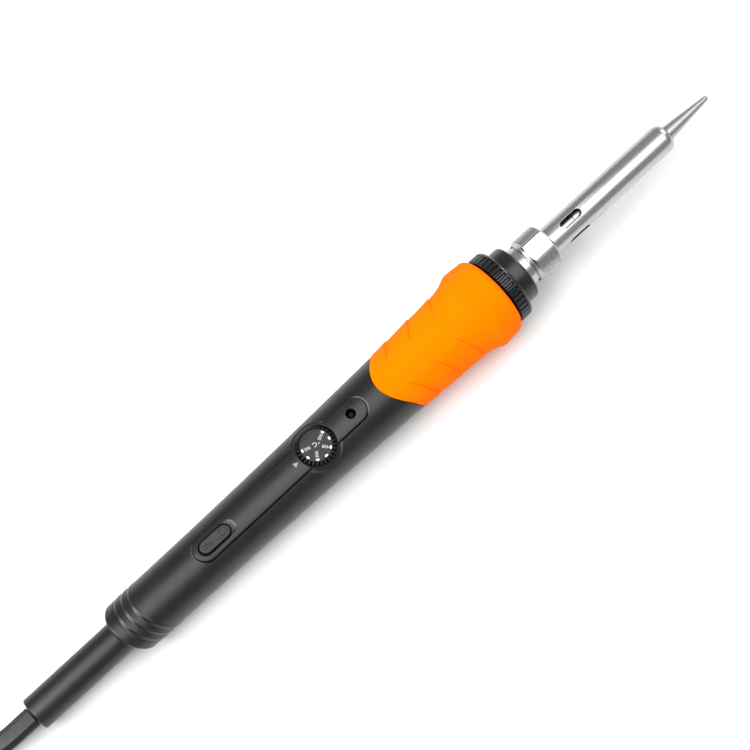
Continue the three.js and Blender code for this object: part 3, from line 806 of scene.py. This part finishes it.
def nut():
    """The barrel nut: flats and knurled bands by turns, each 45 degrees wide."""
    rear, front, radius = span("barrel_nut")
    band = math.pi / 4
    flat = radius * math.cos(band / 2)
    ridges, ridge_depth, turn = 8, 0.3, math.radians(2)

    def banded(x, angle, given):
        place = (angle + turn + band / 2) % (2 * band)
        on_flat = place < band
        bare = np.where(on_flat, flat / np.cos(place - band / 2), radius)
        groove = ease((np.cos((place - band) / band * ridges * TURN) - 0.1) / 0.6)
        inside = ease((x - rear - 0.9) / 0.35) * ease((front - 0.9 - x) / 0.35)
        cut = np.where(on_flat, 0, ridge_depth * groove) * inside
        return np.where(given > 7, np.minimum(given, bare - cut), given)

    corners = [
        (rear + 0.35, 6.95), (rear + 0.35, 7.0), (rear + 0.9, 7.3), (rear + 1.9, 8.4, 0.3),
        (front - 1.3, 8.3, 1.0), (front - 0.1, 7.0, 0.4), (front - 0.1, 5.25), (64.5, 5.25), (64.5, 6.95),
    ]
    obj = turned("knurled_nut", corners, 960, shape=banded, steps=6, fine_beyond=7)
    dress(obj, "nut", "barrel_nut", body="nut", slot="bright_steel", sharp=22)


def neck():
    """The nipple, with the thread that the nut runs on."""
    rear, front, _ = span("threaded_nipple")
    crest, pitch, depth, thread_x = 6.6, 0.75, 0.42, 58.5
    corners = [(rear, NIPPLE_BORE), (rear, 5.8), (55.3, 5.8), (55.3, 6.9), (thread_x, 6.9, 0.2)]
    corners += [(x, crest) for x in np.arange(thread_x, front - 0.3, pitch / 10)]
    corners += [(front, 6.2), (front, NIPPLE_BORE)]

    def threaded(x, angle, given):
        """A helical groove that runs out at both ends."""
        turns = (x / pitch - angle / TURN) % 1
        inside = ease((x - thread_x) / 0.3) * ease((front - 0.3 - x) / 0.3)
        return given - depth * inside * np.abs(2 * turns - 1)

    obj = turned("nipple_neck", corners, 128, shape=threaded)
    dress(obj, "steel", "threaded_nipple", slot="bright_steel")


def nose_cap():
    rear, front, _ = span("front_cap")
    corners = [
        (rear, 6.1), (rear, 7.7), (48.9, 7.7), (48.9, 10.6), (49.8, 10.6), (49.8, 9.73),
        (front, 9.73, 0.9), (front, 7.2, 0.2), (55, 7.2), (55, 6.1),
    ]
    obj = turned("smooth_cap", corners, 128, steps=6)
    dress(obj, "cap", "front_cap")


def collar():
    """The locking collar, with square ribs that end short of its rounded front edge."""
    rear, front, radius = span("locking_collar")
    ribs, groove = 42, 0.75

    def ribbed(x, angle, given):
        profile = 0.5 - 0.5 * np.tanh(3 * np.cos(angle * ribs))
        fade = ease((front - 1.3 - x) / 0.3) * (given > 11.75)
        return given - fade * groove * profile

    corners = [
        (rear - 0.3, 9.9), (rear - 0.3, 11.6), (rear - 0.1, radius, 0.15), (front - 0.1, radius, 2.2),
        (front - 0.1, 10.03), (50.1, 10.03), (50.1, 10.9), (48.6, 10.9), (48.6, 9.9),
    ]
    obj = turned("ribbed_collar", corners, ribs * 20, shape=ribbed, steps=6, fine_beyond=11.5)
    dress(obj, "ribbed", "locking_collar", body="collar", sharp=30)


# The grip

# Where the grip's rear edge runs: degrees round from the top, and x. It is a rounded V.
GRIP_SEAM = [
    (-25, -2.55), (-13, -3.45), (0, -3.85), (13, -3.45), (25, -2.55), (36.5, -1.25), (47, 0.1),
    (62, 2.0), (90, 4.4), (120, 7.95), (150, 10.8), (180, 11.9), (210, 10.8),
]
GRIP_REAR_X = -3.85
# Radius of the grip at x, up to its widest point.
GRIP_OUTLINE = [
    (-6, 11.2), (8, 11.42), (17, 11.8), (26, 12.15),
    (31.6, 12.62), (34.5, 13.43), (36.4, 14.29), (37.35, 14.52),
]
GRIP_BORE = 9.9
# The crescent steps down the grip's sides: degrees round from the top, and how far further on.
SCALE_LINE = [
    (10, -3.0), (24, 0.0), (31, 1.25), (38, 2.2), (57, 4.25), (85, 6.25), (115, 7.3), (150, 7.7), (180, 7.8),
]
# Where each one starts, and how much of that line it follows.
SCALES = ((3.8, 1.0), (13.5, 1.0), (23.8, 0.82))
SCALE_DEPTH = 0.32
CREASE_DEPTH = 0.2
SIDES = 288


def slanted(top_x, lean, angle):
    """Where a slanting ring lies at an angle from up: top_x on top, 2 * lean further on below."""
    return top_x + lean * (1 - np.cos(angle))


def from_top(angle):
    """Degrees round from the top, the same on both sides."""
    return np.degrees(np.abs((angle + math.pi) % TURN - math.pi))


def smooth_outline(points, at):
    """The values at these places on a smooth curve that goes through (place, value) points."""
    x, r = np.array(points, float).T
    slope = np.gradient(r, x)
    cell = np.clip(np.searchsorted(x, at) - 1, 0, len(x) - 2)
    width = x[cell + 1] - x[cell]
    t = (at - x[cell]) / width
    return (
        (2 * t**3 - 3 * t**2 + 1) * r[cell]
        + (t**3 - 2 * t**2 + t) * width * slope[cell]
        + (-2 * t**3 + 3 * t**2) * r[cell + 1]
        + (t**3 - t**2) * width * slope[cell + 1]
    )


def seam_x(angle):
    return smooth_outline(GRIP_SEAM, from_top(angle))


def scale_steps(x, angle):
    """Three low crescent steps down each side of the grip, one behind another."""
    degrees = from_top(angle)
    fade = ease((degrees - 19) / 12) * ease((160 - degrees) / 25)
    raised = np.zeros_like(x)
    for start, reach in SCALES:
        behind = start + reach * smooth_outline(SCALE_LINE, degrees) - x
        swell = np.exp(-np.clip(behind, 0, None) / 3.4) * ease(behind / 0.22 + 0.5)
        crease = np.exp(-(((behind + 0.2) / 0.2) ** 2))
        raised += fade * (SCALE_DEPTH * swell - CREASE_DEPTH * crease)
    return raised


def grip():
    """The rubber sleeve: a curved rear edge, stepped sides and a flared front."""
    front = span("grip_sleeve")[1] - 0.75
    widest_x, widest = GRIP_OUTLINE[-1]
    length = widest_x - GRIP_REAR_X
    angle = around(SIDES)
    seam = seam_x(angle)
    edge = ((0, 0.45), (0.06, 0.24), (0.15, 0.12), (0.3, 0.03), (0.5, 0))
    from_edge = np.concatenate([[at for at, _ in edge], np.linspace(0.7, length, 250)])
    rings = []
    for at, drop in zip(from_edge, np.interp(from_edge, *zip(*edge))):
        x = seam + (widest_x - seam) * at / length
        rings.append((x, smooth_outline(GRIP_OUTLINE, x) + scale_steps(x, angle) - drop))
    nose = [(widest_x, widest), (37.6, 14.5, 0.3), (43.9, 14.0, 1.6), (front, 12.6, 0.6), (front, GRIP_BORE)]
    rings += list(rounded(nose, False, 6)[1:])
    rings.append((seam, GRIP_BORE))
    dress(ringed("rubber_grip", rings, angle), "grip", "grip_sleeve", slot="orange_rubber", sharp=40)


# The handle

# Radius of the handle at x, which a smooth curve follows.
HANDLE_OUTLINE = [
    (-113, 9.2), (-100, 9.2), (-77, 9.37), (-54.4, 9.69),
    (-31.4, 10.18), (-12.8, 10.7), (1.25, 11.17), (14, 11.5),
]
HANDLE_FIT = np.polyfit(*zip(*HANDLE_OUTLINE), 4)
TAIL_X = -111.6
TAIL_LEAN = 5.0
TAIL_EDGE = 0.8
TAIL_RIDGES = (4.4, 7.0, 9.6)
RIDGE_HEIGHT = 0.16
STRAIGHT_X = -104
LEAN_END_X = -99.6
PANEL_REAR_X = -78.6
PANEL_FRONT_X = -9.6
PANEL_HALF_WIDTH = 4.03
PANEL_GAP = 0.17
PANEL_ASIDE = 0.13
PANEL_THICKNESS = 1.6
WELL_RADIUS = 6.63
WELL_FLOOR_Z = 7.9
STEP_RADIUS = 8.0
STEP_DEPTH = 0.22
STEP_SLOPE = 0.45
CUT_BOTTOM_Z = 4
SWITCH_X = -70.75
SWITCH_HALF_LENGTH = 6.15
SWITCH_HALF_WIDTH = 2.55
LED_X = -15.0
LED_HOLE_RADIUS = 1.62


def handle_radius(x):
    return np.polyval(HANDLE_FIT, np.maximum(x, STRAIGHT_X))


def below_top(flat, depth):
    """An (x, y) outline as a loop this far under the handle's upper surface."""
    x, y = np.transpose(flat)
    return level(flat, np.sqrt(handle_radius(x) ** 2 - y**2) - depth)


def opening(name, outline_at, edge=0.14, flare=1.0, steps=6):
    """A cutter that flares where it meets the handle's surface, which leaves a rounded edge."""
    loops = [level(outline_at(0), CUT_BOTTOM_Z)]
    for turn in np.linspace(0, RIGHT, steps):
        depth, grow = edge * (1 - math.sin(turn)), edge * flare * (1 - math.cos(turn))
        loops.append(below_top(outline_at(grow), depth))
    loops.append(below_top(outline_at(edge * flare), -1.5))
    return stack(name, loops)


def well_opening():
    return opening("well", lambda grow: circle(DIAL_X, WELL_RADIUS + grow), 0.2)


def recess_outline(grow):
    """Its ends flare more than its sides, which keeps the long seams narrow."""
    half_width = PANEL_HALF_WIDTH + PANEL_GAP + 0.2 * grow
    return stadium(PANEL_REAR_X - PANEL_GAP - grow, PANEL_FRONT_X + PANEL_GAP + grow, half_width, 480)


def casing():
    """The handle's tube: a slanting ridged tail, a step round the dial, and a core in the grip."""
    angle = around(SIDES)
    seam_top = GRIP_REAR_X - 0.12
    sway = seam_x(angle) - GRIP_REAR_X
    tail = np.concatenate([[0, 0.08, 0.25, 0.5, 0.8], np.linspace(1.0, 12.0, 111)]) + TAIL_X
    middle = np.linspace(tail[-1] + 1, DIAL_X - STEP_RADIUS - 0.5, 50)
    well = np.linspace(DIAL_X - STEP_RADIUS - 0.3, DIAL_X + STEP_RADIUS + 0.3, 110)
    ahead = np.linspace(DIAL_X + STEP_RADIUS + 0.6, seam_top - 0.3, 30)
    tops = np.concatenate([tail, middle, well, ahead, [seam_top - 0.1, seam_top]])
    lean = TAIL_LEAN * (1 - ease((tops - LEAN_END_X) / 50))
    swing = ease((tops - well[-1]) / (seam_top - well[-1]))
    rings = []
    for top, slope, share in zip(tops, lean, swing):
        x = slanted(top, slope, angle) + sway * share
        r = handle_radius(x)
        for ridge in TAIL_RIDGES:
            beyond = top - TAIL_X - ridge
            r = r + RIDGE_HEIGHT * np.interp(beyond, [-1.4, -0.55, 0.35, 1.0], [0, -1, 1, 0])
        r = r - edge_drop(top - TAIL_X, TAIL_EDGE)
        r = r - 0.25 * (1 - min((seam_top - top) / 0.1, 1))
        from_dial = np.hypot(x - DIAL_X, r * np.sin(angle))
        r = r - STEP_DEPTH * (np.cos(angle) > 0) * ease((STEP_RADIUS - from_dial) / STEP_SLOPE)
        rings.append((x, r))
    core_x, core, bore = span("handle_shell")[1], 9.6, 7.6
    tail_end = slanted(TAIL_X, TAIL_LEAN, angle)
    rings += [
        (sway + seam_top, core), (core_x, core), (core_x, 8.0), (0.0, 8.0), (0.0, bore),
        (-97.0, bore), (-97.0, 5.8), (tail_end, 5.8), (tail_end, 8.2),
    ]
    obj = ringed("handle_casing", rings, angle)
    carve(obj, opening("recess", recess_outline, 0.24, 2.0, 2), well_opening())
    dress(obj, "shell", "handle_shell", sharp=25)


def well_floor():
    """The floor of the dial's well, with a hole for the dial's hub."""
    hub, rim, under = 2.9, WELL_RADIUS - 0.02, WELL_FLOOR_Z - 0.25
    outline = rounded([(hub, under), (rim, under), (rim, WELL_FLOOR_Z), (hub, WELL_FLOOR_Z, 0.1)])
    dress(upright_ring("dial_well_floor", DIAL_X, outline, 72), "dial")


def scooped_dish():
    """A cutter for the shallow hollow at the switch's tip end, for a fingertip."""
    rear_x, front_x, half_width, depth = -71.0, -62.5, 2.45, 0.55
    loops = []
    wall = ((2.2, 1.0), (1.5, 0.94), (0.9, 0.75), (0.45, 0.48), (0.15, 0.2), (0, 0), (-0.1, -1.5))
    for inset, below in wall:
        flat = stadium(rear_x + inset, front_x - inset, half_width - inset)
        loops.append(below_top(flat, depth * below))
    return stack("dish", loops)


def strip_outline(inset):
    """The control strip's outline, this far in from its edge."""
    flat = stadium(PANEL_REAR_X + inset, PANEL_FRONT_X - inset, PANEL_HALF_WIDTH - inset, 400)
    return flat + (0, PANEL_ASIDE)


def switch_outline(grow):
    length = SWITCH_HALF_LENGTH + grow
    return stadium(SWITCH_X - length, SWITCH_X + length, SWITCH_HALF_WIDTH + grow)


def panel():
    """The curved control strip, split by the dial's well, with openings for lamp and switch."""
    edge, innermost = 0.2, PANEL_HALF_WIDTH - 0.08
    loops = [below_top(strip_outline(inset), PANEL_THICKNESS) for inset in (innermost, 2.9, 1.2, 0)]
    for inset in (0, 0.02, 0.06, 0.13, 0.22, 0.5, 1.2, 2, 2.9, 3.6, innermost):
        loops.append(below_top(strip_outline(inset), edge_drop(inset, edge)))
    whole = stack("strip", loops)
    carve(
        whole,
        well_opening(),
        scooped_dish(),
        opening("switch", switch_outline),
        opening("lamp", lambda grow: circle(LED_X, LED_HOLE_RADIUS + grow, 64)),
    )
    for side, name, node in ((-1, "switch_strip", "switch_panel"), (1, "lamp_strip", "lamp_panel")):
        half = bmesh.new()
        half.from_mesh(whole.data)
        far = [vert for vert in half.verts if (on_iron(vert.co)[0] - DIAL_X) * side < 0]
        bmesh.ops.delete(half, geom=far, context="VERTS")
        mesh = bpy.data.meshes.new(name)
        half.to_mesh(mesh)
        half.free()
        dress(linked(name, mesh), "panel", node, sharp=25)
    bpy.data.objects.remove(whole)


DIAL_TOP_Z = 10.6
DIAL_TEETH = 28
# The dial's marks: the number beside each angle, and the angles that have a mark only.
DIAL_NUMBERS = {"200": -20, "300": 54, "400": 129, "500": 202}
BARE_MARKS = (15, 92, 166)


def dial():
    """The toothed dial, sloped down beyond a line across its top, with a smooth face."""
    angle = around(DIAL_TEETH * 14)
    toothed = 5.3 + 0.9 * ease((0.5 + 0.5 * np.cos(angle * DIAL_TEETH) - 0.3) / 0.5)
    slope, slope_y = 0.25, 3.3

    def ring(radius, z):
        y = radius * np.sin(angle)
        fall = slope * np.clip(y - slope_y, 0, None) * (z > DIAL_TOP_Z - 1.2)
        return np.stack([DIAL_X + radius * np.cos(angle), y, z - fall], axis=-1)

    loops = [
        ring(2.6, 7.0), ring(2.6, 8.7), ring(toothed - 0.15, 8.7), ring(toothed, 8.85),
        ring(toothed, DIAL_TOP_Z - 0.62), ring(toothed - 0.12, DIAL_TOP_Z - 0.48),
        ring(np.minimum(toothed - 0.3, 5.5), DIAL_TOP_Z - 0.32),
        ring(5.12, DIAL_TOP_Z - 0.22), ring(5.05, DIAL_TOP_Z - 0.05),
    ]
    loops += [ring(r, DIAL_TOP_Z) for r in (4.98, 4.4, 4.0, 3.7, 3.5, 3.35, 3.2, 2.2, 1.0, 0.2)]
    obj = stack("toothed_dial", loops)
    dress(obj, "dial", "temperature_dial", body="dial", slot="dial_plastic", sharp=28)
    repaint(obj, "dial_face", lambda at: math.hypot(at[0] - DIAL_X, at[1]) < 5.0 and at[2] > 9.5)


def round_dial(points, degrees):
    """Points laid out from the dial's axis, turned about it."""
    cos, sin = math.cos(math.radians(degrees)), math.sin(math.radians(degrees))
    return np.asarray(points) @ [[cos, sin, 0], [-sin, cos, 0], [0, 0, 1]] + (DIAL_X, 0, 0)


def written(text, size, x, y, degrees):
    """Flat raised lettering on the dial's face, laid out at (x, y) from its axis."""
    curve = bpy.data.curves.new("text", "FONT")
    curve.body = text
    curve.size = size
    curve.extrude = 0.04
    curve.align_x = "CENTER"
    curve.align_y = "CENTER"
    curve.resolution_u = 3
    holder = linked("text", curve)
    mesh = mesh_made_by(holder)
    flat = np.array([v.co for v in mesh.vertices]) + (x, y, DIAL_TOP_Z)
    faces = [tuple(p.vertices) for p in mesh.polygons]
    bpy.data.objects.remove(holder)
    return mesh_object("text", round_dial(flat, degrees), faces)


def dial_marks():
    """Four numbers, read from the rim inwards, seven oval marks, and the unit in the middle."""
    numbers = [written(text, 1.42, -2.87, 0, degrees) for text, degrees in DIAL_NUMBERS.items()]
    numbers.append(written("°C", 2.05, -0.3, -0.5, 180))
    oval = circle(0, 1, 16) * (0.34, 0.55) - (4.5, 0)
    marks = []
    for degrees in (*DIAL_NUMBERS.values(), *BARE_MARKS):
        loops = [round_dial(level(oval, DIAL_TOP_Z + z), degrees) for z in (-0.05, 0.05)]
        marks.append(stack("mark", loops))
    dress(joined("dial_numbers", numbers), "number_ink", body="dial", slot="dial_plastic")
    dress(joined("dial_marks", marks), "ink", body="dial", slot="dial_plastic")


def pointer():
    """The printed triangle that points at the dial."""
    apex_x, base_x, half_width = -36.7, -38.3, 0.78
    corners = [(apex_x, 0), (base_x, half_width), (base_x, -half_width)]
    obj = stack("pointer_mark", [below_top(corners, depth) for depth in (0.1, -0.03)])
    dress(obj, "grey_ink")


def rocker():
    """The rocker's cap, with a raised ring at its tip end and a raised bar at its tail end."""
    low, top, pivot_z, half_width, half_length = 8.0, 9.75, 7.2, 2.0, 5.5
    tilt, aside = math.radians(3.5), 0.12

    def placed(points):
        """Tips the rocker about its pivot, and puts it in its opening."""
        x, y, z = (np.asarray(points, float) - (0, 0, pivot_z)).T
        along = x * math.cos(tilt) + z * math.sin(tilt)
        height = z * math.cos(tilt) - x * math.sin(tilt)
        return to_row(np.stack([SWITCH_X + along, y + aside, pivot_z + height], axis=-1))

    loops = []
    for inset, z in (
        (0.1, low), (0, low + 0.1), (0, top - 0.3), (0.02, top - 0.17), (0.09, top - 0.07),
        (0.22, top - 0.01), (0.35, top), (1.0, top - 0.03), (1.7, top - 0.05), (1.95, top - 0.05),
    ):
        loops.append(level(stadium(inset - half_length, half_length - inset, half_width - inset), z))
    cap = stack("cap", loops, placed)
    stem = stack("stem", [level(rectangle(-2.5, 2.5, -1.3, 1.3), z) for z in (6.0, low - 0.01)], placed)
    ring_x, ring_radius, foot = 3.0, 1.25, top - 0.03
    section = rounded([(-0.27, -0.1), (-0.27, 0.28, 0.1), (0.27, 0.28, 0.1), (0.27, -0.1)], steps=2)
    ring_mark = upright_ring("ring_mark", ring_x, section + (ring_radius, foot), 48, placed)
    bar_loops = []
    for inset, above in ((0, -0.1), (0, 0.14), (0.06, 0.22), (0.18, 0.25)):
        bar_loops.append(level(stadium(-4.7 + inset, -1.1 - inset, 0.42 - inset, 32), top + above))
    bar_mark = stack("bar_mark", bar_loops, placed)
    obj = joined("switch_cap", [cap, stem, ring_mark, bar_mark])
    dress(obj, "panel", "switch_rocker", body="rocker", sharp=25)


def switch_plate():
    """The plate under the rocker, with a slot for its stem, that closes the view inside."""
    outer, inner, under, over = (7, 3), (3.1, 1.7), 6.85, 7.15
    loops = []
    for (length, width), z in ((outer, under), (outer, over), (inner, over), (inner, under)):
        loops.append(level(stadium(SWITCH_X - length, SWITCH_X + length, width, 64), z))
    obj = mesh_object("switch_plate", np.concatenate(loops), ring_faces(4, 64, True))
    dress(obj, "dial")


def lamp():
    """The indicator lamp: a post with a domed end."""
    radius, base, dome_z = 1.3, 3.0, 8.05
    profile = [(radius, base), (radius, dome_z)]
    profile += [(radius * math.cos(a), dome_z + radius * math.sin(a)) for a in np.linspace(0.15, 1.5, 10)]
    obj = stack("lamp_dome", [level(circle(LED_X, r, 48), z) for r, z in profile])
    dress(obj, "lamp", "indicator_lamp", slot="lamp_lens")


def relief():
    """The straight strain relief, with a collar inside the handle."""
    rear, front, _ = span("strain_relief")
    face, radius, collar_x, collar_radius = rear + 0.55, 5.48, -96.7, 6.9
    corners = [
        (rear + 3.0, 0), (rear + 3.0, 3.4), (face, 4.0, 0.4), (face, radius, 0.7), (collar_x, radius),
        (collar_x, collar_radius, 0.3), (front, collar_radius, 0.3), (front, 0),
    ]
    obj = turned("relief_sleeve", corners, 96, closed=False, steps=6)
    dress(obj, "relief", "strain_relief", slot="relief_rubber")


# CAD pieces that stay as they are, by their material.
KEPT_NODES = {
    # The heater's ceramic look is near black: painted shade inside the barrel.
    "ceramic": ("heater_rod", "heater_holder"),
    "brass": ("potentiometer_shaft",),
    "board": ("circuit_board",),
    "chip": ("switch_body", "control_chip", "triac"),
    "film": ("film_capacitor",),
    "blue": ("potentiometer_body",),
    "foil": ("smoothing_capacitor",),
    "resistor": ("dropper_resistor",),
    "shell": ("clamp_base", "clamp_bar"),
    "screw": ("clamp_screw_1", "clamp_screw_2"),
    "sheath": ("cord_inner_end",),
    "brown_wire": ("mains_core_1",),
    "red_wire": ("heater_lead_1", "heater_lead_2"),
    "white_wire": ("heater_lead_3",),
    "blue_wire": ("heater_lead_4", "mains_core_2"),
}


def inside():
    for look, nodes in KEPT_NODES.items():
        for node in nodes:
            mesh = frame["nodes"][node].data
            mesh.materials.clear()
            mesh.materials.append(LOOK[look])


soldering_tip()
heater_guard()
barrel()
nut()
neck()
nose_cap()
collar()
grip()
casing()
well_floor()
panel()
dial()
dial_marks()
pointer()
rocker()
switch_plate()
lamp()
relief()
inside()


# Studio

# All in metres in the row frame.
FLOOR_HALF_WIDTH = 6.0
# Each softbox: its place, what it faces, its size and its power.
SOFTBOXES = {
    "top_softbox": ((0.1, -0.125, 0.9), (0.1, -0.125, 0), (1.2, 0.84), 8.6),
    "tip_softbox": ((1.3, 0.42, 0.8), (0, 0, 0), (0.5, 0.3), 9),
    "tail_softbox": ((-0.8, 0.42, 0.8), (0, 0, 0), (0.4, 0.3), 7),
    "ridge_strip": ((-0.62, 0.0, 0.86), (-0.1, 0, 0), (0.42, 0.2), 5.0),
}
TOP_SOFTBOX_TURN = math.radians(-18.6)
WORLD_STRENGTH = 0.42


def softbox(name, at, toward, size, power):
    data = bpy.data.lights.new(name, "AREA")
    data.shape = "RECTANGLE"
    data.size, data.size_y = size
    data.energy = power
    obj = linked(name, data)
    obj.location = at
    obj.rotation_euler = (Vector(toward) - Vector(at)).to_track_quat("-Z", "Y").to_euler()
    return obj


def studio():
    """A plain pale floor, a plain white world and four soft lights."""
    half = FLOOR_HALF_WIDTH
    corners = level(rectangle(-half, half, -half, half), 0)
    floor = mesh_object("floor", corners, [(0, 1, 2, 3)], np.asarray)
    paper = material("floor_paper", (0.72, 0.72, 0.72), 0.8, mottle=(400, 2, 0.5, 0.004))
    floor.data.materials.append(paper)
    world = bpy.data.worlds.new("studio")
    world.use_nodes = True
    background = world.node_tree.nodes["Background"]
    background.inputs["Color"].default_value = (1, 1, 1, 1)
    background.inputs["Strength"].default_value = WORLD_STRENGTH
    bpy.context.scene.world = world
    made = {name: softbox(name, *values) for name, values in SOFTBOXES.items()}
    made["top_softbox"].rotation_euler = (0, 0, TOP_SOFTBOX_TURN)
    bpy.context.scene.view_settings.view_transform = "Standard"


studio()
